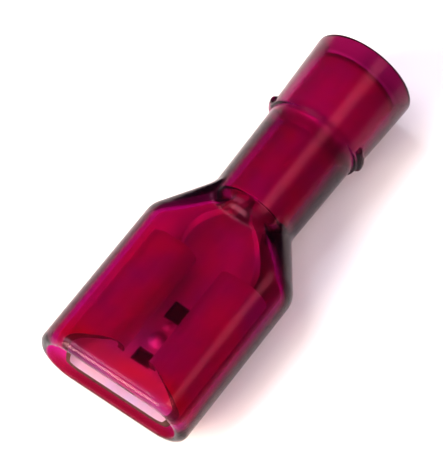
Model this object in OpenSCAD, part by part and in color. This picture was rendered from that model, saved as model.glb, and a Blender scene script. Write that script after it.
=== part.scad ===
// Fully insulated female spade terminal for a 6.3 x 0.8 mm tab and 0.5 to 1.5 mm2 wire.
//
// It has three pieces: a moulded nylon housing, a receptacle rolled from brass sheet with a
// crimp barrel at its back, and a drawn copper sleeve. The sleeve is a tight fit on the crimp
// barrel and grips the wire's insulation behind it.
//
// Each module is drawn with the mouth at x = 0, the wire end towards +X and the barrel's
// centre line on the X axis. in_row_frame() then puts the origin below the middle of the
// length, on the surface that the terminal lies on.

/* [Mating tab] */
// Width of the flat tab that the receptacle takes
tab_w = 6.3; // [4.8:0.1:7.8]
// Thickness of that tab
tab_t = 0.8; // [0.5:0.05:1]
// Room beside the tab, both sides together
tab_side_room = 0.2; // [0.1:0.05:0.4]
// Free gap between the plate and the curls' lips, as a share of the tab's thickness
lip_gap_share = 0.9; // [0.8:0.01:1]

/* [Receptacle] */
// Thickness of the brass sheet
sheet_t = 0.4; // [0.3:0.01:0.45]
// Height of the curls, from under the plate to their tops
curl_h = 2.55; // [2.5:0.05:3.2]
// Outer radius of the inward bend of each curl
curl_bend_r = 1; // [0.9:0.05:1.2]
// Width of the gap between the two curls
curl_gap = 1.5; // [0.8:0.05:1.8]
// Length of the receptacle, from the plate's front edge to the back of its curls
receptacle_len = 8.05; // [7.4:0.05:9]
// Distance from the mouth to the plate's front edge
plate_inset = 0.45; // [0:0.05:1]
// Distance from the plate's front edge to the curls' outer front corners
curl_inset = 0.35; // [0:0.05:0.5]
// How far the curls' front edges run back from those corners to the middle
curl_vee = 2; // [0.2:0.05:2.2]
// Cut across each front corner of the plate
plate_corner = 0.3; // [0.1:0.05:0.6]

/* [Tab detent] */
// Distance from the plate's front edge to the front window
window_x = 2; // [1.8:0.05:2.4]
// Length of the front window
front_window_len = 0.83; // [0.5:0.01:1]
// Length of the back window
back_window_len = 1.1; // [0.5:0.05:1.2]
// Width of both windows
window_w = 1.1; // [0.8:0.05:1.4]
// Length of the bridge between the windows
bridge_len = 2.05; // [1.9:0.05:2.4]
// Distance from the front window to the middle of the front dimple in the bridge
dimple_x = 0.78; // [0.6:0.01:0.9]
// Radius of the front dimple where it leaves the plate
dimple_r = 0.5; // [0.4:0.01:0.55]
// How far the front dimple stands above the plate
dimple_rise = 0.25; // [0.15:0.01:0.35]
// Distance between the middles of the two dimples
dimple_pitch = 0.95; // [0.9:0.01:1.1]
// Radius of the back dimple where it leaves the plate
back_dimple_r = 0.27; // [0.2:0.01:0.32]
// How far the back dimple stands above the plate
back_dimple_rise = 0.12; // [0.08:0.01:0.2]

/* [Crimp barrel] */
// Bore that takes the bare conductor
conductor_d = 1.8; // [1.5:0.05:2.2]
// Length of the crimp barrel
crimp_len = 5; // [4:0.1:5.2]
// How far the crimp barrel's front stands ahead of the sleeve
crimp_lead = 0.15; // [0:0.05:0.35]
// Width of the sheet where the neck leaves the plate
neck_w = 4.2; // [3.4:0.1:4.4]
// Width of the butted seam along the top of the barrel
seam_w = 0.06; // [0.04:0.01:0.1]
// Number of grooves round the inside of the barrel
groove_count = 3; // [1:1:4]
// Depth of each groove
groove_depth = 0.08; // [0.04:0.01:0.12]
// Width of each groove
groove_w = 0.25; // [0.15:0.01:0.35]
// Chamfer round the edge of the bore where the conductor enters
crimp_chamfer = 0.2; // [0.1:0.01:0.25]

/* [Insulation sleeve] */
// Bore that takes the wire's insulation
insulation_d = 4; // [3.7:0.1:4.4]
// Wall of the sleeve round the crimp barrel
sleeve_crimp_wall = 0.45; // [0.35:0.01:0.5]
// Wall of the sleeve round the insulation
sleeve_grip_wall = 0.35; // [0.3:0.01:0.4]
// Length of the cone between the sleeve's two diameters
sleeve_cone_len = 0.7; // [0.5:0.05:1]
// Length of the wide part that grips the insulation
sleeve_grip_len = 4; // [3.4:0.1:4.2]
// Gap all round each tight fit
fit_gap = 0.02; // [0.01:0.005:0.03]

/* [Housing] */
// Wall at the sides of the box
side_wall = 0.6; // [0.55:0.01:0.8]
// Wall at the top and the bottom of the box
face_wall = 0.6; // [0.55:0.01:0.8]
// Gap between the receptacle and the box at each side
side_gap = 0.32; // [0.2:0.01:0.4]
// Gap between the receptacle and the floor of the box
floor_gap = 0.03; // [0.02:0.01:0.1]
// Gap between the receptacle and the roof of the box
roof_gap = 0.22; // [0.1:0.01:0.3]
// Height of the flat part of the box's sides, between their round edges
side_flat = 0.1; // [0.05:0.05:0.8]
// Free length of the box behind the curls
box_tail = 1.15; // [1.1:0.05:2.4]
// How far the box's middle lies below the barrel's centre line
box_drop = 0.27; // [0.2:0.01:0.5]
// Rounding of the box's outer edge at the mouth
lip_r = 0.43; // [0.3:0.01:0.46]
// Chamfer of the box's inner edge at the mouth
mouth_chamfer = 0.06; // [0.03:0.01:0.08]
// Length of the tapered shoulder between the box and the barrel
shoulder_len = 2.75; // [2.2:0.05:3.2]
// Radius between the box's sides and the shoulder, seen from above
shoulder_r = 1.2; // [0.8:0.05:1.4]

/* [Housing barrel] */
// Nylon wall at the front of the crimp section
crimp_skin = 0.735; // [0.6:0.005:0.9]
// Length of the crimp section, from the shoulder to the step
crimp_section_len = 5.5; // [5.3:0.1:6.5]
// Half angle of the crimp section's taper
crimp_draft = 1.3; // [0:0.1:2]
// Length over which the barrel's crown rises out of the shoulder
crown_len = 0.9; // [0.6:0.05:1.2]
// Straight length of the barrel between that crown and the shoulder's end
crown_back = 0.6; // [0.4:0.05:0.9]
// Nylon wall at the front of the wire section
wire_skin = 0.43; // [0.4:0.01:0.6]
// Half angle of the wire section's taper
wire_draft = 2.4; // [1:0.1:3]
// Length of nylon behind the sleeve
hood_len = 0.95; // [0.6:0.05:1.4]
// Widening of the bore over that length, on the radius
hood_flare = 0.22; // [0.1:0.01:0.25]
// Rounding of the outer edge at the wire end
rim_r = 0.15; // [0.1:0.01:0.3]
// Bore of the ledge that stops the sleeve
ledge_d = 3.1; // [3:0.05:3.2]
// Length of that ledge
ledge_len = 0.4; // [0.3:0.05:0.6]
// Radius of the section of the lug on each side of the barrel, just behind the step
lug_r = 0.23; // [0.2:0.01:0.3]
// Gap between the step and the lugs
lug_gap = 0.16; // [0:0.01:0.3]
// How far each lug stands out of the wire section
lug_rise = 0.22; // [0.1:0.01:0.25]
// Height of each lug, about the barrel's middle
lug_h = 2.1; // [1.5:0.1:3]

/* [Hidden] */
$fn = 96;
eps = 0.01;            // thickness of a slice in a hull, and overrun of a cut
hull_fn = 32;          // facets round a circle inside a hull
corner_steps = 12;     // facets round each corner of the box
bend_steps = 12;       // facets round each bend of the sheet
lip_steps = 6;         // slices round the mouth's outer edge
round_steps = 5;       // facets round each small outer radius
shoulder_lap = 0.03;   // how far inside the barrel's surface the shoulder ends
lip_angle = 25;        // how far each curl's lip turns under, past level
dimple_press = 0.75;   // hollow under each dimple, as a share of its radius and its rise
neck_rings = 14;       // sections along the neck
neck_steps = 20;       // steps across the neck's sheet
neck_coin = 0.04;      // how much thinner the coined neck is than the sheet
neck_lap = 0.3;        // how far the neck runs into the plate and into the crimp barrel
neck_open = 4;         // degrees that the neck stays clear of each side of the seam

// Box
receptacle_w = tab_w + tab_side_room + 2 * sheet_t;
cavity_w = receptacle_w + 2 * side_gap;
cavity_h = floor_gap + curl_h + roof_gap;
box_w = cavity_w + 2 * side_wall;
box_h = cavity_h + 2 * face_wall;
box_r = (box_h - side_flat) / 2;
cavity_r = (cavity_h - side_flat) / 2;
curls_back_x = plate_inset + receptacle_len;
box_len = curls_back_x + box_tail;
shoulder_end = box_len + shoulder_len;

// Receptacle
plate_z = floor_gap - cavity_h / 2 - box_drop;
side_bend_r = curl_h / 2;
side_bend_y = receptacle_w / 2 - side_bend_r;
plate_edge_y = side_bend_y + sqrt(sheet_t * (2 * side_bend_r - sheet_t));
inner_bend_y = curl_gap / 2 + curl_bend_r;
upper_bend_z = curl_h - curl_bend_r;
lower_bend_z = min(upper_bend_z - 0.005,
    sheet_t + lip_gap_share * tab_t + curl_bend_r * sin(lip_angle));
crimp_d = conductor_d + 2 * sheet_t;
crimp_x = shoulder_end - crimp_lead;

// Sleeve
sleeve_bore_d = crimp_d + 2 * fit_gap;
sleeve_crimp_d = sleeve_bore_d + 2 * sleeve_crimp_wall;
sleeve_grip_d = insulation_d + 2 * sleeve_grip_wall;
sleeve_x = shoulder_end + fit_gap;
sleeve_grip_x = shoulder_end + crimp_section_len;
sleeve_cone_x = sleeve_grip_x - sleeve_cone_len;
sleeve_end = sleeve_grip_x + sleeve_grip_len;

// Housing barrel
seat_crimp_r = sleeve_crimp_d / 2 + fit_gap;
seat_grip_r = sleeve_grip_d / 2 + fit_gap;
step_x = sleeve_grip_x;
housing_len = sleeve_end + hood_len;
rim_x = housing_len - rim_r;
crimp_r0 = seat_crimp_r + crimp_skin;
crimp_r1 = crimp_r0 + crimp_section_len * tan(crimp_draft);
wire_r0 = seat_grip_r + wire_skin;
wire_r1 = wire_r0 + (rim_x - step_x) * tan(wire_draft);
lug_x = step_x + lug_gap + lug_r;
lug_top_r = wire_r0 + (lug_x - step_x) * tan(wire_draft) + lug_rise;
crown_end = shoulder_end - crown_back;
ledge_x = shoulder_end - ledge_len;

// Shoulder
shoulder_end_r = crimp_r0 - shoulder_lap;
shoulder_angle = atan((box_w / 2 - shoulder_end_r) / shoulder_len);
shoulder_arc_x = box_len - shoulder_r * tan(shoulder_angle / 2);
cavity_len = box_len - side_wall * tan(shoulder_angle / 2);

// Points round an arc
function arc(x, y, r, from, to, steps) =
    [for (i = [0:steps])
        let (a = from + (to - from) * i / steps)
        [x + r * cos(a), y + r * sin(a)]];

// Smooth step from 0 to 1
function ease(u) = u * u * (3 - 2 * u);

// Puts a shape drawn round the barrel's centre line on the surface that it lies on
module in_row_frame() {
    translate([-housing_len / 2, 0, wire_r1]) children();
}

// Extrudes a section drawn in Y and Z along X
module along_x(length) {
    rotate([90, 0, 90]) linear_extrude(length) children();
}

// Turns a profile of [x, radius] points round the X axis
module turned(profile) {
    rotate([0, 90, 0]) rotate_extrude() polygon([for (p = profile) [p[1], p[0]]]);
}

// Outline of a rectangle with round corners
function round_rect(w, h, r) =
    [for (quarter = [0:3])
        let (side = quarter == 0 || quarter == 3 ? 1 : -1, level = quarter < 2 ? 1 : -1)
        each arc(side * (w / 2 - r), level * (h / 2 - r), r,
            90 * quarter, 90 * (quarter + 1), corner_steps)];

// A thin slice of a box with round corners, about the middle of the box's height
module slice(x, w, h, r) {
    translate([x, 0, -box_drop]) along_x(eps) polygon(round_rect(w, h, r));
}

// Outside of the box and its shoulder, which keeps the box's flat top as it narrows
module box_body() {
    hull() {
        for (i = [0:lip_steps]) {
            a = 90 * i / lip_steps;
            inset = lip_r * (1 - cos(a));
            slice(lip_r * (1 - sin(a)), box_w - 2 * inset, box_h - 2 * inset, box_r - inset);
        }
        for (i = [0:round_steps]) {
            a = shoulder_angle * i / round_steps;
            inset = 2 * shoulder_r * (1 - cos(a));
            slice(shoulder_arc_x + shoulder_r * sin(a), box_w - inset, box_h, box_r);
        }
        translate([shoulder_end - eps, 0, 0]) along_x(eps) intersection() {
            circle(shoulder_end_r, $fn = hull_fn);
            translate([0, -box_drop]) square([box_w, box_h], center = true);
        }
    }
}

// Cavity that holds the receptacle and narrows to the ledge
module box_cavity() {
    hull() {
        slice(-eps, cavity_w, cavity_h, cavity_r);
        slice(cavity_len, cavity_w, cavity_h, cavity_r);
        translate([ledge_x, 0, 0]) along_x(eps) circle(d = ledge_d, $fn = hull_fn);
    }
    hull() {
        slice(-eps, cavity_w + 2 * mouth_chamfer, cavity_h + 2 * mouth_chamfer,
            cavity_r + mouth_chamfer);
        slice(mouth_chamfer, cavity_w, cavity_h, cavity_r);
    }
}

// Outside of the barrel: crown, crimp section, step, wire section and rounded rim
module barrel_body() {
    turned(concat(
        [[crown_end - crown_len, 0]],
        arc(crown_end, crimp_r0 - crown_len, crown_len, 180, 90, round_steps),
        [[shoulder_end, crimp_r0], [step_x, crimp_r1], [step_x, wire_r0]],
        arc(rim_x, wire_r1 - rim_r, rim_r, 90, 0, round_steps),
        [[housing_len, 0]]
    ));
}

// Stepped bore: ledge, seat of the sleeve and flared hood
module barrel_bore() {
    turned([
        [ledge_x, 0],
        [ledge_x, ledge_d / 2],
        [shoulder_end, ledge_d / 2],
        [shoulder_end, seat_crimp_r],
        [sleeve_cone_x, seat_crimp_r],
        [sleeve_grip_x, seat_grip_r],
        [sleeve_end, seat_grip_r],
        [housing_len + eps, seat_grip_r + hood_flare],
        [housing_len + eps, 0]
    ]);
}

// Lugs on both sides of the barrel, just behind the step
module lugs() {
    intersection() {
        turned(arc(lug_x, lug_top_r - lug_r, lug_r, 180, 0, 2 * round_steps));
        translate([lug_x, 0, 0]) cube([4 * lug_r, 4 * lug_top_r, lug_h], center = true);
    }
}

module housing() {
    color("crimson") in_row_frame() difference() {
        union() {
            box_body();
            barrel_body();
            lugs();
        }
        box_cavity();
        barrel_bore();
    }
}

// Section of the rolled receptacle, from its right half: side bend, top, curl and lip
module curl_section() {
    half = concat(
        arc(side_bend_y, side_bend_r, side_bend_r, -90, 90, 2 * bend_steps),
        arc(inner_bend_y, upper_bend_z, curl_bend_r, 90, 180, bend_steps),
        arc(inner_bend_y, lower_bend_z, curl_bend_r, 180, 180 + lip_angle, bend_steps / 3),
        arc(inner_bend_y, lower_bend_z, curl_bend_r - sheet_t, 180 + lip_angle, 180,
            bend_steps / 3),
        arc(inner_bend_y, upper_bend_z, curl_bend_r - sheet_t, 180, 90, bend_steps),
        arc(side_bend_y, side_bend_r, side_bend_r - sheet_t, 90, -90, 2 * bend_steps)
    );
    other_half = [for (i = [len(half) - 1:-1:0]) [-half[i][0], half[i][1]]];
    polygon(concat(half, other_half));
}

// Vee that cuts the curls' front edges back and leaves the plate under them
module curl_vee_cut() {
    half_w = receptacle_w / 2;
    translate([0, 0, sheet_t]) linear_extrude(curl_h) polygon([
        [-eps, -half_w - eps],
        [curl_inset, -half_w - eps],
        [curl_inset + curl_vee, 0],
        [curl_inset, half_w + eps],
        [-eps, half_w + eps]
    ]);
}

// Cuts across the front corners of the plate, below the curls
module plate_corner_cuts() {
    for (side = [-1, 1])
        translate([0, 0, -eps]) linear_extrude(sheet_t + eps) polygon([
            [-eps, side * (plate_edge_y - plate_corner - eps)],
            [plate_corner + eps, side * plate_edge_y],
            [plate_corner + eps, side * (receptacle_w / 2 + eps)],
            [-eps, side * (receptacle_w / 2 + eps)]
        ]);
}

// Cap of a sphere that stands on the XY plane
module cap(radius, rise) {
    sphere_r = (radius * radius + rise * rise) / (2 * rise);
    intersection() {
        translate([0, 0, rise - sphere_r]) sphere(sphere_r);
        translate([0, 0, rise]) cube([3 * radius, 3 * radius, 2 * rise], center = true);
    }
}

// Places of the dimples that snap into the hole in the tab: [x, radius, rise]
front_dimple_x = window_x + front_window_len + dimple_x;
dimples = [
    [front_dimple_x, dimple_r, dimple_rise],
    [front_dimple_x + dimple_pitch, back_dimple_r, back_dimple_rise]
];

// Plate and curls, with the front edges cut, and two windows and the dimples in the plate
module tab_receptacle() {
    back_window_x = window_x + front_window_len + bridge_len;
    translate([plate_inset, 0, plate_z]) difference() {
        union() {
            along_x(receptacle_len) curl_section();
            for (d = dimples)
                translate([d[0], 0, sheet_t]) cap(d[1], d[2]);
        }
        curl_vee_cut();
        plate_corner_cuts();
        translate([window_x, -window_w / 2, -eps])
            cube([front_window_len, window_w, sheet_t + 2 * eps]);
        translate([back_window_x, -window_w / 2, -eps])
            cube([back_window_len, window_w, sheet_t + 2 * eps]);
        for (d = dimples)
            translate([d[0], 0, -eps]) cap(dimple_press * d[1], dimple_press * d[2]);
    }
}

// Points of one side of the neck's sheet, u of the way from the plate to the crimp barrel.
// The sheet rises to the barrel's height and rolls up from flat to round.
function neck_row(u, side) =
    let (
        x0 = curls_back_x - neck_lap,
        x1 = crimp_x + neck_lap,
        mid_r = (conductor_d + sheet_t) / 2,
        seam_angle = 2 * (asin(seam_w / conductor_d) + neck_open),
        wrap = max(1, (360 - seam_angle) * ease(u)),
        full_w = mid_r * (360 - seam_angle) * PI / 180,
        width = neck_w + (full_w - neck_w) * ease(u),
        r = width / (wrap * PI / 180),
        z0 = plate_z + sheet_t / 2,
        z = z0 + (-mid_r - z0) * ease(u),
        offset_r = r + side * (sheet_t - neck_coin) / 2
    )
    [for (i = [0:neck_steps])
        let (a = wrap * (i / neck_steps - 0.5))
        [x0 + (x1 - x0) * u, offset_r * sin(a), z + r - offset_r * cos(a)]];

// Neck that joins the plate to the crimp barrel
module neck() {
    n = neck_steps + 1;
    ring = 2 * n;
    points = [for (k = [0:neck_rings])
        let (outer = neck_row(k / neck_rings, 1), inner = neck_row(k / neck_rings, -1))
        each concat(outer, [for (i = [n - 1:-1:0]) inner[i]])];
    walls = [for (k = [0:neck_rings - 1], i = [0:ring - 1])
        let (j = (i + 1) % ring)
        each [
            [k * ring + i, (k + 1) * ring + i, (k + 1) * ring + j],
            [k * ring + i, (k + 1) * ring + j, k * ring + j]
        ]];
    last = neck_rings * ring;
    ends = [for (i = [0:n - 2])
        each [
            [i, i + 1, ring - 2 - i, ring - 1 - i],
            [last + i, last + ring - 1 - i, last + ring - 2 - i, last + i + 1]
        ]];
    polyhedron(points, concat(walls, ends));
}

// Crimp barrel with a butted seam along its top and grooves round its bore
module crimp_barrel() {
    bore_r = conductor_d / 2;
    pitch = crimp_len / (groove_count + 1);
    difference() {
        turned([
            [crimp_x, bore_r],
            [crimp_x, crimp_d / 2],
            [crimp_x + crimp_len, crimp_d / 2],
            [crimp_x + crimp_len, bore_r + crimp_chamfer],
            [crimp_x + crimp_len - crimp_chamfer, bore_r]
        ]);
        for (i = [1:groove_count])
            translate([crimp_x + i * pitch - groove_w / 2, 0, 0]) rotate([0, 90, 0])
                cylinder(groove_w, r = bore_r + groove_depth);
        translate([crimp_x - eps, -seam_w / 2, 0])
            cube([crimp_len + 2 * eps, seam_w, crimp_d]);
    }
}

module receptacle() {
    color("silver") in_row_frame() {
        tab_receptacle();
        neck();
        crimp_barrel();
    }
}

module insulation_sleeve() {
    color("lightgray") in_row_frame() turned([
        [sleeve_x, sleeve_bore_d / 2],
        [sleeve_x, sleeve_crimp_d / 2],
        [sleeve_cone_x, sleeve_crimp_d / 2],
        [sleeve_grip_x, sleeve_grip_d / 2],
        [sleeve_end, sleeve_grip_d / 2],
        [sleeve_end, insulation_d / 2],
        [sleeve_grip_x, insulation_d / 2],
        [sleeve_cone_x, sleeve_bore_d / 2]
    ]);
}

housing();
receptacle();
insulation_sleeve();
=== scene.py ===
"""Looks of the insulated female spade terminal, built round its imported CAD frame.

The three pieces are rebuilt here as fine meshes with the small radii that moulding and rolling
leave, in place of the CAD nodes. Lengths are in millimetres up to the point where a mesh is
made. The part's own frame has the mouth at x = 0 and the barrel's centre line at y = z = 0.
"""

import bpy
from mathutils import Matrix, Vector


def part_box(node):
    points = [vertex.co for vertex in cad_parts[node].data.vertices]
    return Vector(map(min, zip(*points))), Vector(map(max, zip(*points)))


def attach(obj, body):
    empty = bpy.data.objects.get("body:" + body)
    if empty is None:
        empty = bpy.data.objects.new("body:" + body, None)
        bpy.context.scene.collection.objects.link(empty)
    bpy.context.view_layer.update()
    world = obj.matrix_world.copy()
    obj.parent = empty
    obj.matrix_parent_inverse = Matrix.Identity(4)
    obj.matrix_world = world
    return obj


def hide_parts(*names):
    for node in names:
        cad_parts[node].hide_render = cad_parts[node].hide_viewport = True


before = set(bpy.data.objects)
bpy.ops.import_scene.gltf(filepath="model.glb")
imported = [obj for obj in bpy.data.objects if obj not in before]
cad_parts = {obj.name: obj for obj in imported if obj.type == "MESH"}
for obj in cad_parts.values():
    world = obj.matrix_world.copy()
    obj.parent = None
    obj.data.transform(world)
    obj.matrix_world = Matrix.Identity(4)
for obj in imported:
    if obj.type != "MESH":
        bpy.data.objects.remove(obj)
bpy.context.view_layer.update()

import math

import bpy
from mathutils import Matrix, Vector

MM = 0.001

# ---- Sizes read from the frame -------------------------------------------------------------


def node_box(node):
    """Lowest and highest corner of a CAD node, in millimetres."""
    low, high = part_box(node)
    return low / MM, high / MM


HOUSING_LOW, HOUSING_HIGH = node_box("housing")
RECEPTACLE_LOW, RECEPTACLE_HIGH = node_box("receptacle")
SLEEVE_LOW, SLEEVE_HIGH = node_box("insulation_sleeve")

MOUTH_X = HOUSING_LOW.x
AXIS_Z = (SLEEVE_LOW.z + SLEEVE_HIGH.z) / 2
HOUSING_LEN = HOUSING_HIGH.x - MOUTH_X
BOX_W = HOUSING_HIGH.y - HOUSING_LOW.y
RIM_R = HOUSING_HIGH.z - AXIS_Z
SLEEVE_X = SLEEVE_LOW.x - MOUTH_X
SLEEVE_END = SLEEVE_HIGH.x - MOUTH_X
SLEEVE_GRIP_R = (SLEEVE_HIGH.z - SLEEVE_LOW.z) / 2
RECEPTACLE_W = RECEPTACLE_HIGH.y - RECEPTACLE_LOW.y
PLATE_X = RECEPTACLE_LOW.x - MOUTH_X
PLATE_Z = RECEPTACLE_LOW.z - AXIS_Z
CRIMP_END = RECEPTACLE_HIGH.x - MOUTH_X

# ---- Sizes that the frame doesn't give, as in the part's source ----------------------------

# Box of the housing
BOX_DROP = 0.27       # how far its middle lies below the barrel's centre line
BOX_H = 4.0
BOX_LEN = 9.65        # from the mouth to the shoulder
BOX_R = 1.95          # outer radius of its corners
LIP_R = 0.43          # rounding of its outer edge at the mouth
INNER_LIP_R = 0.12    # rounding of its inner edge there
SIDE_WALL = 0.6
FACE_WALL = 0.6       # wall at its top and bottom
CAVITY_R = 1.35       # radius of the cavity's corners
SHOULDER_END = 12.4
SHOULDER_R = 1.2      # between the box's sides and the shoulder, seen from above

# Barrel of the housing
CRIMP_R0 = 2.525      # outer radius of its narrow section, at the shoulder
CRIMP_R1 = 2.65       # the same, at the step
CROWN_LEN = 0.9       # over which the barrel's crown rises out of the shoulder
CROWN_BACK = 0.6      # between that crown and the shoulder's end
CROWN_END = SHOULDER_END - CROWN_BACK
BLEND = 0.28          # width of the smooth change from the shoulder to the barrel
STEP_X = 17.9
STEP_ROUND = 0.05
WIRE_R0 = 2.8         # outer radius of its wide section, at the step
RIM_ROUND = 0.15      # rounding of the outer edge at the wire end
HOOD_FLARE = 0.22     # widening of the bore behind the sleeve, on the radius
HOOD_ROUND = 0.06     # rounding of the bore's edge at the wire end
LEDGE_LEN = 0.4       # of the ledge that stops the sleeve
LEDGE_X = SHOULDER_END - LEDGE_LEN
LEDGE_R = 1.55        # bore of that ledge
SEAT_CRIMP_R = 1.79   # bore round the narrow part of the sleeve
SEAT_GRIP_R = 2.37    # bore round the wide part of the sleeve

# Lug on each side of the barrel, just behind the step
LUG_R = 0.23          # radius of its section
LUG_RISE = 0.22       # how far it stands out of the barrel
LUG_GAP = 0.16        # between the step and the lug
LUG_H = 2.1
LUG_FADE = 0.15       # how far inside its ends it reaches its full rise
LUG_BLEND = 0.05      # width of the smooth change from the barrel to the lug
LUG_END = STEP_X + LUG_GAP + 2 * LUG_R

# Receptacle
SHEET_T = 0.4
SHEET_BEVEL = 0.05    # width of the rounding along its edges
CURL_H = 2.55         # from under the plate to the tops of the curls
CURL_BEND_R = 1.0     # outer radius of the inward bend of each curl
CURL_GAP = 1.5        # between the two curls
LIP_GAP = 0.72        # between the plate and the curls' lips
LIP_ANGLE = 25        # how far each curl's lip turns under, past level
RECEPTACLE_LEN = 8.05  # from the plate's front edge to the back of its curls
CURL_INSET = 0.35     # from the plate's front edge to the curls' outer front corners
CURL_VEE = 2.0        # how far the curls' front edges run back from those corners
PLATE_CORNER = 0.3    # cut across each front corner of the plate

# Windows in the plate, and dimples on the bridge between them, from the plate's front edge
WINDOW_W = 1.1
FRONT_WINDOW_LEN = 0.83
BRIDGE_LEN = 2.05
BACK_WINDOW_LEN = 1.1
FRONT_WINDOW_X = 2.0
FRONT_WINDOW_END = FRONT_WINDOW_X + FRONT_WINDOW_LEN
BACK_WINDOW_X = FRONT_WINDOW_END + BRIDGE_LEN
BACK_WINDOW_END = BACK_WINDOW_X + BACK_WINDOW_LEN
WINDOWS = ((FRONT_WINDOW_X, FRONT_WINDOW_END), (BACK_WINDOW_X, BACK_WINDOW_END))
DIMPLE_X = FRONT_WINDOW_END + 0.78
DIMPLE_PITCH = 0.95
DIMPLE_POWER = 1.3    # above 1, a dimple meets the plate in a soft curve
DIMPLES = (           # middle, radius and rise of each
    (DIMPLE_X, 0.5, 0.25),
    (DIMPLE_X + DIMPLE_PITCH, 0.27, 0.12),
)

# Neck and crimp barrel
NECK_W = 4.2
NECK_OPEN = 4         # degrees that the neck stays clear of each side of the seam
NECK_LAP = 0.3        # how far it runs into the plate and into the crimp barrel
NECK_X = PLATE_X + RECEPTACLE_LEN - NECK_LAP
CRIMP_X = 12.25
NECK_END = CRIMP_X + NECK_LAP
CONDUCTOR_R = 0.9     # bore of the crimp barrel
CRIMP_MID_R = CONDUCTOR_R + SHEET_T / 2
CRIMP_CHAMFER = 0.2   # round the edge of its bore, where the conductor enters
SEAM_W = 0.06
SEAM_HALF_ANGLE = math.degrees(math.asin(SEAM_W / 2 / CONDUCTOR_R))
SEAM_ROWS = (0.1, 0.25)  # behind the neck; by the last of them, the seam has closed
OPEN_WRAP = 360 - 2 * (SEAM_HALF_ANGLE + NECK_OPEN)
SHUT_WRAP = 360 - 2 * SEAM_HALF_ANGLE
FLAT_WRAP = 1.0       # degrees of bend that stand for a flat sheet
GROOVE_COUNT = 3
GROOVE_DEPTH = 0.08
GROOVE_W = 0.25
GROOVE_SIDE = 0.01    # length over which the bore drops into a groove

# Sleeve
SLEEVE_BORE_R = 1.32  # round the crimp barrel
SLEEVE_CRIMP_R = 1.77
INSULATION_R = 2.0    # bore that takes the wire's insulation
SLEEVE_CONE_X = 17.2
SLEEVE_ROUND = 0.06

# ---- How finely the meshes are divided -----------------------------------------------------

# Distances from one ring or row of points to the next
TIGHT_GAP = 0.02      # next to an edge, where there is least room
EDGE_GAP = 0.03       # next to an edge, which keeps its shading crisp
RING_GAP = 0.04       # from one stretch of close rings to the next
RUN_GAP = 0.15        # from a bend to the rings of a straight stretch
END_GAP = 0.2         # from a piece's end to the rings of a straight stretch

# How far close rings reach past the part of the surface that needs them
BEND_MARGIN = 0.1     # the bend from the box's sides to the shoulder
SHOULDER_MARGIN = 0.6
LUG_MARGIN = 0.05
CAVITY_MARGIN = 0.25  # the bend at the back of the cavity

BODY_X = 0.6          # where the even rings of the box start, behind the lip
VEE_END = 1.9         # where the sheet's rows no longer follow its front edge
FRONT_ROWS = [0.0, 0.02, 0.05]  # the first rows behind that edge
OFF_AXIS = 0.01       # degrees between the first normal of a quarter and the axis
CAVITY_FADE = 0.1     # share of the cavity's taper that starts softly
CORNER_STEPS = 28     # round each corner of the box
BOTTOM_STEPS = 18     # from the middle of the box's bottom to its corner
TOP_STEPS = 24
LIP_STEPS = 6
ROUND_STEPS = 4
RIM_STEPS = 8
CONE_STEPS = 12
SLEEVE_SIDES = 120
BEVEL_SEGMENTS = 3
BEVEL_ANGLE = 50      # degrees between two faces, above which their edge is rounded
TINY = 1e-6           # slack where two sizes are compared

# ---- Looks of the materials ----------------------------------------------------------------

# The noise values that give the ends of a range of values, and of a range of colours
VALUE_LIMITS = (0.3, 0.7)
COLOUR_LIMITS = (0.35, 0.65)

# Nylon: the surface tints light each time that it passes, and the volume absorbs the rest
NYLON_IOR = 1.22      # below real nylon's, for weaker reflections and refraction
NYLON_GLOSS = (1.0, 0.25, 0.5, 1.0)  # tint of its reflections
NYLON_ROUGHNESS = (0.14, 0.20)
NYLON_COLOUR = (0.832, 0.0, 0.80, 1.0)
NYLON_DENSITY = 4500.0  # a metre
NYLON_TINTS = ((0.90, 0.28, 0.28), (0.79, 0.30, 0.38))
NYLON_WAVES = 0.02    # height of the surface's unevenness

# Tints of the nylon by place, each laid over those before it: a colour, then its fades. A fade
# is an axis and the places on it where the colour starts and is full. Two fades are multiplied.
# All but the grip's tint are painted light and shade.
UPPER_HALF = ("Z", -0.2, 0.6)
LOWER_HALF = ("Z", -0.6, -1.4)
GRIP_TINT = ((0.77, 0.27, 0.30), ("X", STEP_X, STEP_X + 0.6))
# painted shade: darkens the nylon of the hood behind the sleeve
PAINTED_HOOD_SHADE = ((0.27, 0.02, 0.075), ("X", SLEEVE_END - 0.4, SLEEVE_END - 0.1))
# painted shade: dims the sleeve cone's reflection of the mouth light, seen through the barrel
PAINTED_CONE_SHADE = ((0.54, 0.16, 0.25), ("X", SLEEVE_CONE_X - 0.4, SLEEVE_CONE_X + 0.1),
             ("X", STEP_X + 0.5, STEP_X + 0.1))
# painted light: a redder glow in the top wall behind the mouth, where light comes in
PAINTED_MOUTH_GLOW = ((0.93, 0.26, 0.15), ("X", 1.9, 1.1), UPPER_HALF)
# painted light: the upper lip tinted near clear, so it glows brighter than the lower
PAINTED_LIP_GLOW = ((1.0, 0.95, 0.80), ("X", 0.6, 0.1), UPPER_HALF)
# painted shade: darker lower edge of the mouth, in front of the plate
PAINTED_SILL_SHADE = ((0.46, 0.08, 0.065), ("X", PLATE_X + 0.4, PLATE_X), LOWER_HALF)
PLACE_TINTS = (GRIP_TINT, PAINTED_HOOD_SHADE, PAINTED_CONE_SHADE, PAINTED_MOUTH_GLOW, PAINTED_LIP_GLOW, PAINTED_SILL_SHADE)

# Polish of the lip, as a thin coat
LIP_COAT = 0.2
LIP_COAT_FADES = (("X", 0.75, 0.45), UPPER_HALF)
LIP_COAT_ROUGHNESS = 0.12

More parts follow.
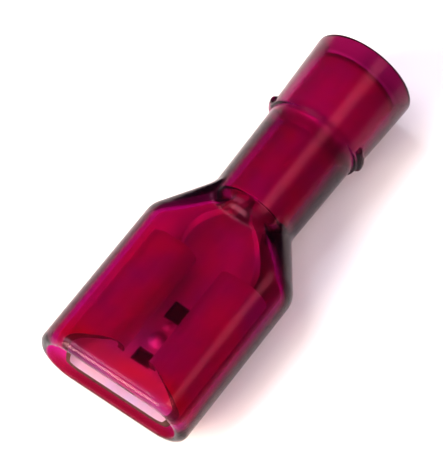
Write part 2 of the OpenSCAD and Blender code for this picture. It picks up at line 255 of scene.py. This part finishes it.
# Metals: two colours that drift over the surface, and the range of the roughness. The pink and
# lilac of the tinned metals stand in partly for the red nylon reflected in them, a painted
# reflection.
METALS = {
    "tinned_brass": ((0.78, 0.59, 0.65), (0.67, 0.57, 0.76), (0.66, 0.76)),
    # bare brass of the cut edges, darkened far past brass by painted shade
    "shaded_cut_brass": ((0.10, 0.05, 0.045), (0.14, 0.07, 0.06), (0.60, 0.70)),
    "tinned_copper": ((0.98, 0.76, 0.84), (0.84, 0.76, 1.0), (0.66, 0.76)),
}
METAL_LINES = 0.002   # height of the lines that rolling and drawing leave

# Sockets of the Mix node that take and give a colour
MIX_A, MIX_B, MIX_RESULT = 6, 7, 2

FLOOR_TONES = ((0.83, 0.83, 0.83), (0.85, 0.85, 0.85))
FLOOR_ROUGHNESS = 0.8

# ---- Stage, lights and camera --------------------------------------------------------------

FLOOR_REACH = 1.5     # metres from its middle to each side

VIEW_DROP = 0.43      # how far the view's centre lies below the barrel's centre line
VIEW_CENTRE = Vector((0.0, 0.0, AXIS_Z - VIEW_DROP)) * MM
VIEW_AZIMUTH = math.radians(54.4)
VIEW_ELEVATION = math.radians(62.04)
CAMERA_DISTANCE = 150.38 * MM
CAMERA_LENS = 229.7
CAMERA_SENSOR = 36
CAMERA_CLIP = (0.005, 10)
CAMERA_AIM_RIGHT = -1.005 * MM
CAMERA_AIM_UP = 0.253 * MM

# Square lights: direction from the part, distance and size in metres, watts and colour
LIGHTS = {
    "far_softbox": ((-0.1, 0.5, 0.86), 0.6, 0.35, 2.8, (0.92, 0.92, 1.0)),
    "mouth_softbox": ((-0.83, 0.28, 0.48), 0.5, 0.3, 6.4, (1.0, 0.84, 0.68)),
    "overhead_softbox": ((-0.381, -0.273, 0.883), 0.6, 0.35, 1.0, (0.95, 0.95, 1.0)),
    "near_softbox": ((0.381, -0.47, 0.80), 0.5, 0.16, 0.8, (1.0, 0.6, 0.5)),
}
STUDIO_COLOUR = (0.75, 0.7, 1.0, 1)
STUDIO_STRENGTH = 0.35

# ---- Small helpers -------------------------------------------------------------------------


def lerp(a, b, t):
    return a + (b - a) * t


def ease(t):
    """Smooth step from 0 to 1."""
    t = min(max(t, 0.0), 1.0)
    return t * t * (3 - 2 * t)


def spread(start, end, count):
    """count + 1 evenly spaced values from start to end."""
    return [lerp(start, end, i / count) for i in range(count + 1)]


def stretches(*runs):
    """Values of several runs of (start, end, count), one after the other."""
    return [value for run in runs for value in spread(*run)]


def arc(cx, cy, r, start, end, count):
    """Points along an arc, with its angles in degrees."""
    return [
        (cx + r * math.cos(math.radians(a)), cy + r * math.sin(math.radians(a)))
        for a in spread(start, end, count)
    ]


def smooth_max(a, b, width):
    """The larger of two values, blended where they are within width of each other."""
    near = max(width - abs(a - b), 0.0) / width
    return max(a, b) + near * near * width / 4


def sleeve_cone(crimp_r, grip_r):
    """Profile of the cone between two radii, where the sleeve widens."""
    return [(lerp(SLEEVE_CONE_X, STEP_X, u), lerp(crimp_r, grip_r, ease(u)))
            for u in spread(0, 1, CONE_STEPS)]


def make_object(name, points, faces):
    """A mesh object from points in the part's own frame, in millimetres."""
    mesh = bpy.data.meshes.new(name)
    mesh.from_pydata(
        [((x + MOUTH_X) * MM, y * MM, (z + AXIS_Z) * MM) for x, y, z in points], [], faces
    )
    mesh.validate()
    mesh.update()
    obj = bpy.data.objects.new(name, mesh)
    bpy.context.scene.collection.objects.link(obj)
    mesh.polygons.foreach_set("use_smooth", [True] * len(mesh.polygons))
    return obj


def ring_mesh(name, rings):
    """A closed mesh through rings of equal count; the last ring joins the first."""
    count = len(rings[0])
    points = [p for ring in rings for p in ring]
    faces = []
    for k in range(len(rings)):
        here, there = k * count, (k + 1) % len(rings) * count
        for i in range(count):
            j = (i + 1) % count
            faces.append((here + i, here + j, there + j, there + i))
    return make_object(name, points, faces)


# ---- Sections of the housing ---------------------------------------------------------------


def support_round_rect(w, h, r, nx, ny):
    """Farthest point of a round-cornered rectangle, set at the box's height, along a normal."""
    return (
        math.copysign(w / 2 - r, nx) + r * nx,
        -BOX_DROP + math.copysign(h / 2 - r, ny) + r * ny,
    )


def support_flat_disc(r, top, nx, ny):
    """Farthest point along a normal of a disc that is cut off at a height."""
    if ny > 0 and r * ny > top:
        return math.copysign(math.sqrt(max(r * r - top * top, 0)), nx), top
    return r * nx, r * ny


# Unit normals all round, for which the sections' farthest points are found
NORMALS = [
    (math.cos(math.radians(a)), math.sin(math.radians(a)))
    for quarter in range(4)
    for a in spread(90 * quarter + OFF_AXIS, 90 * (quarter + 1) - OFF_AXIS, CORNER_STEPS)
]


def radii_of(outline, directions):
    """Distance from the axis to a convex outline along each direction."""
    angles = [math.atan2(y, x) for x, y in outline]
    start = angles.index(min(angles))
    outline = outline[start:] + outline[:start]
    angles = angles[start:] + angles[:start]
    outline = [outline[-1]] + outline + [outline[0]]
    angles = [angles[-1] - 2 * math.pi] + angles + [angles[0] + 2 * math.pi]
    radii, k = [], 0
    for a, (c, s) in directions:
        while angles[k + 1] < a:
            k += 1
        (x0, y0), (x1, y1) = outline[k], outline[k + 1]
        ex, ey = x1 - x0, y1 - y0
        radii.append((x0 * ey - y0 * ex) / (c * ey - s * ex))
    return radii


def direction_list():
    """Directions round the axis, close together at the box's round sides.

    Each one is its angle and its unit vector.
    """
    corner_y = BOX_W / 2 - BOX_R
    top_z, bottom_z = BOX_H / 2 - BOX_DROP - BOX_R, -BOX_H / 2 - BOX_DROP + BOX_R
    low, high = (
        [math.degrees(math.atan2(z, y)) for y, z in
         arc(corner_y, corner_z, BOX_R, start, start + 90, CORNER_STEPS)]
        for corner_z, start in ((bottom_z, -90), (top_z, 0))
    )
    right = (spread(-90, low[0], BOTTOM_STEPS)[1:-1] + low + high
             + spread(high[-1], 90, TOP_STEPS)[1:-1])
    left = [180 - a for a in reversed(right)]
    every = sorted(a if a <= 180 else a - 360 for a in [-90] + right + [90] + left)
    return [(math.radians(a), (math.cos(math.radians(a)), math.sin(math.radians(a))))
            for a in every]


DIRECTIONS = direction_list()

# The box's sides bend from SHOULDER_ARC_X on, and run straight in from SHOULDER_LINE_X on
BOX_TOP = BOX_H / 2 - BOX_DROP
SHOULDER_ANGLE = math.atan((BOX_W / 2 - CRIMP_R0) / (SHOULDER_END - BOX_LEN))
SHOULDER_ARC_X = BOX_LEN - SHOULDER_R * math.tan(SHOULDER_ANGLE / 2)
SHOULDER_LINE_X = SHOULDER_ARC_X + SHOULDER_R * math.sin(SHOULDER_ANGLE)
CAVITY_LEN = BOX_LEN - SIDE_WALL * math.tan(SHOULDER_ANGLE / 2)


def box_radii(x, inset=0.0):
    """Outside of the box and shoulder at x, as a distance along each direction."""
    w, h = BOX_W - 2 * inset, BOX_H - 2 * inset
    if x > SHOULDER_ARC_X:
        along = min((x - SHOULDER_ARC_X) / SHOULDER_R, math.sin(SHOULDER_ANGLE))
        w -= 2 * SHOULDER_R * (1 - math.cos(math.asin(along)))
    t = min(max((x - SHOULDER_LINE_X) / (SHOULDER_END - SHOULDER_LINE_X), 0.0), 1.0)
    outline = []
    for nx, ny in NORMALS:
        a = support_round_rect(w, h, BOX_R - inset, nx, ny)
        b = support_flat_disc(CRIMP_R0, BOX_TOP, nx, ny)
        outline.append((lerp(a[0], b[0], t), lerp(a[1], b[1], t)))
    past = max(x - SHOULDER_END, 0.0) * math.tan(SHOULDER_ANGLE)
    return [r - past for r in radii_of(outline, DIRECTIONS)]


def cavity_radii(x, grow=0.0):
    """Inside of the box and shoulder at x, as a distance along each direction."""
    w, h = BOX_W - 2 * (SIDE_WALL - grow), BOX_H - 2 * (FACE_WALL - grow)
    t = smooth_max((CAVITY_LEN - x) / (CAVITY_LEN - LEDGE_X), 0.0, CAVITY_FADE)
    outline = []
    for nx, ny in NORMALS:
        a = support_round_rect(w, h, CAVITY_R + grow, nx, ny)
        outline.append((lerp(a[0], LEDGE_R * nx, t), lerp(a[1], LEDGE_R * ny, t)))
    return radii_of(outline, DIRECTIONS)


def barrel_radius(x):
    """Outside radius of the barrel in front of the step."""
    if x >= SHOULDER_END:
        return lerp(CRIMP_R0, CRIMP_R1, (x - SHOULDER_END) / (STEP_X - SHOULDER_END))
    ahead = max(CROWN_END - x, 0.0)
    if ahead >= CROWN_LEN:
        return CRIMP_R0 - ahead
    return CRIMP_R0 - CROWN_LEN + math.sqrt(CROWN_LEN ** 2 - ahead ** 2)


def wire_radius(x, direction):
    """Outside radius of the barrel behind the step, with the lugs on its sides."""
    surface = lerp(WIRE_R0, RIM_R, (x - STEP_X) / (HOUSING_LEN - RIM_ROUND - STEP_X))
    off = abs(x - STEP_X - LUG_GAP - LUG_R)
    if off >= LUG_R:
        return surface
    lug = surface + LUG_RISE - LUG_R + math.sqrt(LUG_R ** 2 - off ** 2)
    inside = LUG_H / 2 - abs(direction[1]) * lug
    return lerp(surface, smooth_max(surface, lug, LUG_BLEND), ease(inside / LUG_FADE))


def ring_at(x, radii):
    """Points of a section at x, from a distance along each direction."""
    return [(x, r * c, r * s) for r, (_, (c, s)) in zip(radii, DIRECTIONS)]


def round_rings(profile):
    """A circle for each (x, radius) of a profile."""
    return [ring_at(x, [r] * len(DIRECTIONS)) for x, r in profile]


def outer_rings():
    """Rings of the housing's outside, from the mouth's edge to the rim."""
    rings = [ring_at(x, box_radii(x, inset))
             for x, inset in arc(LIP_R, LIP_R, LIP_R, 180, 270, LIP_STEPS)]
    bend_end = SHOULDER_LINE_X + BEND_MARGIN
    blend_end = SHOULDER_END + SHOULDER_MARGIN
    for x in [LIP_R + EDGE_GAP] + stretches(
            (BODY_X, SHOULDER_ARC_X - BEND_MARGIN, 12),
            (SHOULDER_ARC_X - RING_GAP, bend_end, 16),
            (bend_end + RING_GAP, blend_end, 66),
            (blend_end + RUN_GAP, STEP_X - STEP_ROUND - EDGE_GAP, 12)):
        barrel = barrel_radius(x)
        rings.append(ring_at(x, [smooth_max(r, barrel, BLEND) for r in box_radii(x)]))
    step = arc(STEP_X - STEP_ROUND, CRIMP_R1 + STEP_ROUND, STEP_ROUND, -90, 0, ROUND_STEPS)
    step += arc(STEP_X + STEP_ROUND, WIRE_R0 - STEP_ROUND, STEP_ROUND, 180, 90, ROUND_STEPS)
    rings += round_rings(step)
    rim_x = HOUSING_LEN - RIM_ROUND
    for x in stretches((STEP_X + STEP_ROUND + TIGHT_GAP, LUG_END + LUG_MARGIN, 28),
                       (LUG_END + LUG_MARGIN + RUN_GAP, rim_x - EDGE_GAP, 8)):
        rings.append(ring_at(x, [wire_radius(x, d) for _, d in DIRECTIONS]))
    return rings + round_rings(arc(rim_x, RIM_R - RIM_ROUND, RIM_ROUND, 90, 0, RIM_STEPS))


def inner_rings():
    """Rings of the housing's inside, from the rim back to the mouth's edge."""
    hood_r = SEAT_GRIP_R + HOOD_FLARE
    hood_len = HOUSING_LEN - SLEEVE_END
    profile = arc(HOUSING_LEN - HOOD_ROUND, hood_r + HOOD_ROUND, HOOD_ROUND, 0, -90, ROUND_STEPS)
    profile += [(x, lerp(hood_r, SEAT_GRIP_R, (HOUSING_LEN - x) / hood_len))
                for x in spread(HOUSING_LEN - HOOD_ROUND - RING_GAP, SLEEVE_END + EDGE_GAP, 4)]
    profile += [(x, SEAT_GRIP_R) for x in spread(SLEEVE_END - EDGE_GAP, STEP_X + EDGE_GAP, 6)]
    profile += sleeve_cone(SEAT_CRIMP_R, SEAT_GRIP_R)[::-1]
    profile += [(x, SEAT_CRIMP_R)
                for x in spread(SLEEVE_CONE_X - RING_GAP, SHOULDER_END + EDGE_GAP, 6)]
    profile += [(SHOULDER_END, SEAT_CRIMP_R), (SHOULDER_END, SEAT_CRIMP_R - EDGE_GAP),
                (SHOULDER_END, LEDGE_R + EDGE_GAP), (SHOULDER_END - EDGE_GAP, LEDGE_R)]
    cavity = stretches((LEDGE_X, CAVITY_LEN - CAVITY_MARGIN, 20),
                       (CAVITY_LEN - 2 * CAVITY_MARGIN, BODY_X, 10))
    cavity.append(INNER_LIP_R + EDGE_GAP)
    lip = arc(INNER_LIP_R, INNER_LIP_R, INNER_LIP_R, 270, 180, LIP_STEPS)
    return (round_rings(profile) + [ring_at(x, cavity_radii(x)) for x in cavity]
            + [ring_at(x, cavity_radii(x, grow)) for x, grow in lip])


def build_housing():
    return ring_mesh("nylon_housing", outer_rings() + inner_rings())


# ---- Receptacle ----------------------------------------------------------------------------


def curl_path():
    """Middle line of the rolled sheet from the plate's centre to the right curl's lip.

    Each point is (y, z, normal y, normal z), with z above the plate's underside and the
    normal towards the sheet's inner face.
    """
    half = SHEET_T / 2
    side_r = CURL_H / 2
    side_y = RECEPTACLE_W / 2 - side_r
    inner_y = CURL_GAP / 2 + CURL_BEND_R
    upper_z = CURL_H - CURL_BEND_R
    lower_z = SHEET_T + LIP_GAP + CURL_BEND_R * math.sin(math.radians(LIP_ANGLE))
    flats = (spread(0, WINDOW_W / 2, 8) + spread(WINDOW_W / 2, NECK_W / 2, 12)[1:]
             + [side_y - TIGHT_GAP])
    path = [(y, half, 0.0, 1.0) for y in flats]
    for cy, cz, r, start, end, count in (
            (side_y, side_r, side_r, -90, 90, 32),
            (inner_y, upper_z, CURL_BEND_R, 90, 180, 16),
            (inner_y, lower_z, CURL_BEND_R, 180, 180 + LIP_ANGLE, 6)):
        for a in spread(start, end, count):
            c, s = math.cos(math.radians(a)), math.sin(math.radians(a))
            path.append((cy + (r - half) * c, cz + (r - half) * s, -c, -s))
    return path


def front_edge(y, z):
    """Where the sheet starts behind the plate's front edge, at that place in its section."""
    half_w = RECEPTACLE_W / 2
    if z > SHEET_T:
        rise = ease((z - SHEET_T) / SHEET_T)
        return rise * (CURL_INSET + CURL_VEE * (1 - abs(y) / half_w))
    edge_y = half_w - CURL_H / 2 + math.sqrt(SHEET_T * (CURL_H - SHEET_T))
    return max(abs(y) - (edge_y - PLATE_CORNER), 0.0)


def dimple_lift(along, y):
    """How far the pressed dimples raise the plate at a place on it."""
    for middle, radius, rise in DIMPLES:
        away = math.hypot(along - middle, y) / radius
        if away < 1:
            return rise * math.cos(away * math.pi / 2) ** DIMPLE_POWER
    return 0.0


def neck_point(u, s):
    """Middle-surface point and inward normal of the neck, s of the way across its sheet."""
    rolled = ease(u)
    wrap = math.radians(max(FLAT_WRAP, OPEN_WRAP * rolled))
    r = lerp(NECK_W, CRIMP_MID_R * math.radians(OPEN_WRAP), rolled) / wrap
    z = lerp(PLATE_Z + SHEET_T / 2, -CRIMP_MID_R, rolled)
    a = wrap * s
    point = (lerp(NECK_X, NECK_END, u), r * math.sin(a), z + r - r * math.cos(a))
    return point, (0.0, -math.sin(a), math.cos(a))


def barrel_point(x, s, wrap):
    """Middle-surface point and inward normal of the crimp barrel."""
    a = math.radians(wrap) * s
    point = (x, CRIMP_MID_R * math.sin(a), -CRIMP_MID_R * math.cos(a))
    return point, (0.0, -math.sin(a), math.cos(a))


def plate_stations():
    """Rows of the plate and its curls, as distances behind the plate's front edge."""
    stations = FRONT_ROWS + spread(END_GAP, VEE_END, 8)
    for end, count in ((FRONT_WINDOW_X, 1), (FRONT_WINDOW_END, 4), (BACK_WINDOW_X, 36),
                       (BACK_WINDOW_END, 4), (RECEPTACLE_LEN, 5)):
        stations += spread(stations[-1], end, count)[1:]
    return stations


def plate_rows(path, stations):
    """Rows of the plate and its curls, which follow the slanted front edge at first."""
    rows = []
    for along in stations:
        row = []
        for y, z, ny, nz in path:
            x = along
            if along <= VEE_END:
                x = lerp(front_edge(y, z), VEE_END, along / VEE_END)
            lift = dimple_lift(along, y) if z < SHEET_T else 0.0
            row.append(((PLATE_X + x, y, PLATE_Z + z + lift), (0.0, ny, nz), 0.0))
        rows.append(row)
    return rows


def window_cells(path, stations):
    """The (row, column) cells of the plate that its windows cut out."""
    rows = [k for k in range(len(stations) - 1)
            if any(start < (stations[k] + stations[k + 1]) / 2 < end for start, end in WINDOWS)]
    columns = [i for i in range(len(path) - 1)
               if abs(path[i][0] + path[i + 1][0]) < WINDOW_W and path[i][1] < SHEET_T]
    return {(k, i) for k in rows for i in columns}


def narrow_row(path, place):
    """A row with the columns in the middle of the plate only, which the neck carries on."""
    return [place(y / NECK_W) if z < SHEET_T and abs(y) <= NECK_W / 2 + TINY else None
            for y, z, _, _ in path]


def neck_rows(path):
    """Rows of the neck, from the back of the plate to the crimp barrel."""
    plate_end = NECK_LAP / (NECK_END - NECK_X)
    return [narrow_row(path, lambda s: (*neck_point(u, s), 0.0))
            for u in spread(plate_end, 1, 28)[1:]]


def barrel_rows(path):
    """Rows of the crimp barrel, with the grooves and the chamfer of its bore."""
    pitch = (CRIMP_END - CRIMP_X) / (GROOVE_COUNT + 1)
    grooves = [CRIMP_X + g * pitch for g in range(1, GROOVE_COUNT + 1)]
    stations = [NECK_END + row for row in SEAM_ROWS]
    for middle in grooves:
        start, end = middle - GROOVE_W / 2, middle + GROOVE_W / 2
        stations += [start - GROOVE_SIDE, start, end, end + GROOVE_SIDE]
    stations += [CRIMP_END - CRIMP_CHAMFER, CRIMP_END - TIGHT_GAP, CRIMP_END]
    rows = []
    for x in stations:
        wrap = lerp(OPEN_WRAP, SHUT_WRAP, ease((x - NECK_END) / SEAM_ROWS[-1]))
        in_groove = min(abs(x - middle) for middle in grooves) < GROOVE_W / 2 + TINY
        deeper = max(GROOVE_DEPTH if in_groove else 0.0, CRIMP_CHAMFER - (CRIMP_END - x))
        rows.append(narrow_row(path, lambda s: (*barrel_point(x, s, wrap), deeper)))
    return rows


def sheet_mesh(name, rows, missing, dark_rows):
    """A sheet of SHEET_T through rows of (point, inward normal, deeper); None marks no sheet.

    deeper is how much the inner face is cut back. missing holds the (row, column) cells that
    are cut out. The sheet's cut edges in the first dark_rows rows take the second material,
    which is bare brass darkened by painted shade.
    """
    places, faces, cut = {}, [], []
    for k, row in enumerate(rows):
        for i, place in enumerate(row):
            if place is None:
                continue
            (x, y, z), (nx, ny, nz), deeper = place
            for side, half in ((0, -SHEET_T / 2), (1, SHEET_T / 2 - deeper)):
                places[k, i, side] = (x + nx * half, y + ny * half, z + nz * half)
    cells = {
        (k, i)
        for k in range(len(rows) - 1) for i in range(len(rows[0]) - 1)
        if (k, i) not in missing
        and all((k + dk, i + di, 0) in places for dk in (0, 1) for di in (0, 1))
    }
    for k, i in sorted(cells):
        corners = [(k, i), (k, i + 1), (k + 1, i + 1), (k + 1, i)]
        faces.append([c + (0,) for c in corners])
        faces.append([c + (1,) for c in reversed(corners)])
        cut += [0, 0]
        neighbours = [(k - 1, i), (k, i + 1), (k + 1, i), (k, i - 1)]
        for side, other in enumerate(neighbours):
            if other not in cells:
                a, b = corners[side], corners[(side + 1) % 4]
                faces.append([b + (0,), a + (0,), a + (1,), b + (1,)])
                cut.append(int(k < dark_rows))
    used = sorted({key for face in faces for key in face})
    index = {key: n for n, key in enumerate(used)}
    obj = make_object(name, [places[key] for key in used],
                      [[index[key] for key in face] for face in faces])
    obj.data.polygons.foreach_set("material_index", cut)
    return obj


def build_receptacle():
    """The rolled sheet. The cut edges of its plate and curls are darker than its faces, as bare
    brass with painted shade over it.
    """
    right = curl_path()
    path = [(-y, z, -ny, nz) for y, z, ny, nz in reversed(right[1:])] + right
    stations = plate_stations()
    rows = plate_rows(path, stations) + neck_rows(path) + barrel_rows(path)
    obj = sheet_mesh("rolled_receptacle", rows, window_cells(path, stations),
                     dark_rows=len(stations) - 2)
    bevel = obj.modifiers.new("edges", "BEVEL")
    bevel.width = SHEET_BEVEL * MM
    bevel.segments = BEVEL_SEGMENTS
    bevel.limit_method = "ANGLE"
    bevel.angle_limit = math.radians(BEVEL_ANGLE)
    return obj


# ---- Insulation sleeve ---------------------------------------------------------------------


def sleeve_wall(crimp_r, grip_r):
    """Profile of one side of the sleeve's wall between its rounded ends, front to back."""
    return ([(x, crimp_r) for x in spread(SLEEVE_X + END_GAP, SLEEVE_CONE_X - RUN_GAP, 6)]
            + sleeve_cone(crimp_r, grip_r)
            + [(x, grip_r) for x in spread(STEP_X + RUN_GAP, SLEEVE_END - END_GAP, 6)])


def build_sleeve():
    e = SLEEVE_ROUND
    profile = arc(SLEEVE_X + e, SLEEVE_CRIMP_R - e, e, 180, 90, ROUND_STEPS)
    profile += sleeve_wall(SLEEVE_CRIMP_R, SLEEVE_GRIP_R)
    profile += arc(SLEEVE_END - e, SLEEVE_GRIP_R - e, e, 90, 0, ROUND_STEPS)
    profile += arc(SLEEVE_END - e, INSULATION_R + e, e, 0, -90, ROUND_STEPS)
    profile += sleeve_wall(SLEEVE_BORE_R, INSULATION_R)[::-1]
    profile += arc(SLEEVE_X + e, SLEEVE_BORE_R + e, e, -90, -180, ROUND_STEPS)
    angles = spread(0, 2 * math.pi, SLEEVE_SIDES)[:-1]
    return ring_mesh("copper_sleeve", [
        [(x, r * math.cos(a), r * math.sin(a)) for a in angles] for x, r in profile
    ])


# ---- Materials -----------------------------------------------------------------------------


def new_material(name):
    material = bpy.data.materials.new(name)
    material.use_nodes = True
    tree = material.node_tree
    shader = tree.nodes["Principled BSDF"]
    return material, tree, shader


def noise(tree, scale, detail=3.0, stretch=(1, 1, 1)):
    """Noise in the object's own space, at so many grains a metre."""
    place = tree.nodes.new("ShaderNodeTexCoord")
    mapping = tree.nodes.new("ShaderNodeMapping")
    mapping.inputs["Scale"].default_value = stretch
    grain = tree.nodes.new("ShaderNodeTexNoise")
    grain.inputs["Scale"].default_value = scale
    grain.inputs["Detail"].default_value = detail
    tree.links.new(place.outputs["Object"], mapping.inputs["Vector"])
    tree.links.new(mapping.outputs["Vector"], grain.inputs["Vector"])
    return grain.outputs["Fac"]


def ramp_value(tree, source, low, high):
    """Maps a noise onto low to high."""
    node = tree.nodes.new("ShaderNodeMapRange")
    node.inputs["From Min"].default_value = VALUE_LIMITS[0]
    node.inputs["From Max"].default_value = VALUE_LIMITS[1]
    node.inputs["To Min"].default_value = low
    node.inputs["To Max"].default_value = high
    tree.links.new(source, node.inputs["Value"])
    return node.outputs["Result"]


def ramp_colour(tree, source, first, second):
    """Maps a noise onto the colours between two."""
    node = tree.nodes.new("ShaderNodeValToRGB")
    for stop, position, colour in zip(node.color_ramp.elements, COLOUR_LIMITS, (first, second)):
        stop.position = position
        stop.color = (*colour, 1)
    tree.links.new(source, node.inputs["Fac"])
    return node.outputs["Color"]


def add_bump(tree, shader, source, height, strength):
    """Raises the surface by a noise; height is in millimetres."""
    bump = tree.nodes.new("ShaderNodeBump")
    bump.inputs["Distance"].default_value = height * MM
    bump.inputs["Strength"].default_value = strength
    tree.links.new(source, bump.inputs["Height"])
    tree.links.new(bump.outputs["Normal"], shader.inputs["Normal"])


def fade_value(tree, axis, start, end, most=1.0):
    """Goes from 0 to most between two places along an axis of the part, in millimetres."""
    place = tree.nodes.new("ShaderNodeTexCoord")
    split = tree.nodes.new("ShaderNodeSeparateXYZ")
    node = tree.nodes.new("ShaderNodeMapRange")
    origin = {"X": MOUTH_X, "Z": AXIS_Z}[axis]
    node.inputs["From Min"].default_value = (origin + start) * MM
    node.inputs["From Max"].default_value = (origin + end) * MM
    node.inputs["To Max"].default_value = most
    tree.links.new(place.outputs["Object"], split.inputs["Vector"])
    tree.links.new(split.outputs[axis], node.inputs["Value"])
    return node.outputs["Result"]


def multiply_fades(tree, fades, most=1.0):
    """The product of all fades, which is most where each is full."""
    product = fade_value(tree, *fades[0], most)
    for fade in fades[1:]:
        node = tree.nodes.new("ShaderNodeMath")
        node.operation = "MULTIPLY"
        tree.links.new(product, node.inputs[0])
        tree.links.new(fade_value(tree, *fade), node.inputs[1])
        product = node.outputs["Value"]
    return product


def lay_tint(tree, below, tint, weight):
    """Mixes a tint over the colour below it."""
    node = tree.nodes.new("ShaderNodeMix")
    node.data_type = "RGBA"
    tree.links.new(weight, node.inputs["Factor"])
    tree.links.new(below, node.inputs[MIX_A])
    node.inputs[MIX_B].default_value = (*tint, 1)
    return node.outputs[MIX_RESULT]


def nylon_material():
    """Clear nylon, clouded and tinted by place, with painted light and shade in most of those
    tints, and light absorbed in its volume.
    """
    material, tree, shader = new_material("red_nylon")
    shader.inputs["Transmission Weight"].default_value = 1.0
    shader.inputs["IOR"].default_value = NYLON_IOR
    shader.inputs["Specular Tint"].default_value = NYLON_GLOSS
    shader.inputs["Coat Roughness"].default_value = LIP_COAT_ROUGHNESS
    colour = ramp_colour(tree, noise(tree, scale=400, detail=2.0), *NYLON_TINTS)
    for tint, *fades in PLACE_TINTS:
        colour = lay_tint(tree, colour, tint, multiply_fades(tree, fades))
    tree.links.new(colour, shader.inputs["Base Color"])
    coat = multiply_fades(tree, LIP_COAT_FADES, LIP_COAT)
    tree.links.new(coat, shader.inputs["Coat Weight"])
    roughness = ramp_value(tree, noise(tree, scale=900), *NYLON_ROUGHNESS)
    tree.links.new(roughness, shader.inputs["Roughness"])
    waves = noise(tree, scale=700, stretch=(0.5, 1, 1))
    add_bump(tree, shader, waves, height=NYLON_WAVES, strength=0.5)
    absorb = tree.nodes.new("ShaderNodeVolumeAbsorption")
    absorb.inputs["Color"].default_value = NYLON_COLOUR
    absorb.inputs["Density"].default_value = NYLON_DENSITY
    output = tree.nodes["Material Output"]
    tree.links.new(absorb.outputs["Volume"], output.inputs["Volume"])
    return material


def metal_material(name):
    """Matt metal with a cloudy colour and fine lines along the part."""
    first, second, roughness = METALS[name]
    material, tree, shader = new_material(name)
    shader.inputs["Metallic"].default_value = 1.0
    clouds = ramp_colour(tree, noise(tree, scale=500, detail=4.0), first, second)
    tree.links.new(clouds, shader.inputs["Base Color"])
    lines = noise(tree, scale=3000, detail=2.0, stretch=(0.12, 1, 1))
    tree.links.new(ramp_value(tree, lines, *roughness), shader.inputs["Roughness"])
    add_bump(tree, shader, lines, height=METAL_LINES, strength=0.25)
    return material


def floor_material():
    material, tree, shader = new_material("pale_floor")
    tone = ramp_colour(tree, noise(tree, scale=60, detail=2.0), *FLOOR_TONES)
    tree.links.new(tone, shader.inputs["Base Color"])
    shader.inputs["Roughness"].default_value = FLOOR_ROUGHNESS
    return material


# ---- Stage, lights and camera --------------------------------------------------------------


def build_floor():
    mesh = bpy.data.meshes.new("floor")
    corners = [(x * FLOOR_REACH, y * FLOOR_REACH, 0)
               for x, y in ((-1, -1), (1, -1), (1, 1), (-1, 1))]
    mesh.from_pydata(corners, [], [(0, 1, 2, 3)])
    floor = bpy.data.objects.new("floor", mesh)
    bpy.context.scene.collection.objects.link(floor)
    mesh.materials.append(floor_material())


def build_camera():
    back = Vector((-math.cos(VIEW_ELEVATION) * math.sin(VIEW_AZIMUTH),
                   -math.cos(VIEW_ELEVATION) * math.cos(VIEW_AZIMUTH),
                   math.sin(VIEW_ELEVATION)))
    right = Vector((math.cos(VIEW_AZIMUTH), -math.sin(VIEW_AZIMUTH), 0))
    up = back.cross(right)
    aim = VIEW_CENTRE + right * CAMERA_AIM_RIGHT + up * CAMERA_AIM_UP
    data = bpy.data.cameras.new("camera")
    data.lens = CAMERA_LENS
    data.sensor_width = CAMERA_SENSOR
    data.clip_start, data.clip_end = CAMERA_CLIP
    camera = bpy.data.objects.new("camera", data)
    camera.matrix_world = Matrix((
        (right.x, up.x, back.x, aim.x + back.x * CAMERA_DISTANCE),
        (right.y, up.y, back.y, aim.y + back.y * CAMERA_DISTANCE),
        (right.z, up.z, back.z, aim.z + back.z * CAMERA_DISTANCE),
        (0, 0, 0, 1),
    ))
    bpy.context.scene.collection.objects.link(camera)
    bpy.context.scene.camera = camera


def build_lights():
    """Square soft lights that face the part, and a dim studio round it."""
    for name, (direction, distance, size, power, colour) in LIGHTS.items():
        data = bpy.data.lights.new(name, "AREA")
        data.shape = "SQUARE"
        data.size = size
        data.energy = power
        data.color = colour
        light = bpy.data.objects.new(name, data)
        towards = Vector(direction).normalized()
        light.location = VIEW_CENTRE + towards * distance
        light.rotation_euler = towards.to_track_quat("Z", "Y").to_euler()
        bpy.context.scene.collection.objects.link(light)
    world = bpy.data.worlds.new("studio")
    world.use_nodes = True
    background = world.node_tree.nodes["Background"]
    background.inputs["Color"].default_value = STUDIO_COLOUR
    background.inputs["Strength"].default_value = STUDIO_STRENGTH
    bpy.context.scene.world = world


# ---- Scene ---------------------------------------------------------------------------------

bpy.context.scene.view_settings.view_transform = "Standard"
bpy.context.scene.cycles.use_denoising = True

housing = build_housing()
receptacle = build_receptacle()
sleeve = build_sleeve()
housing.data.materials.append(nylon_material())
receptacle.data.materials.append(metal_material("tinned_brass"))
receptacle.data.materials.append(metal_material("shaded_cut_brass"))
sleeve.data.materials.append(metal_material("tinned_copper"))
for piece, node, slot in ((housing, "housing", "red_nylon"),
                          (receptacle, "receptacle", "tinned_brass"),
                          (sleeve, "insulation_sleeve", "tinned_copper")):
    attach(piece, "root")
    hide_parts(node)

build_floor()
build_lights()
build_camera()
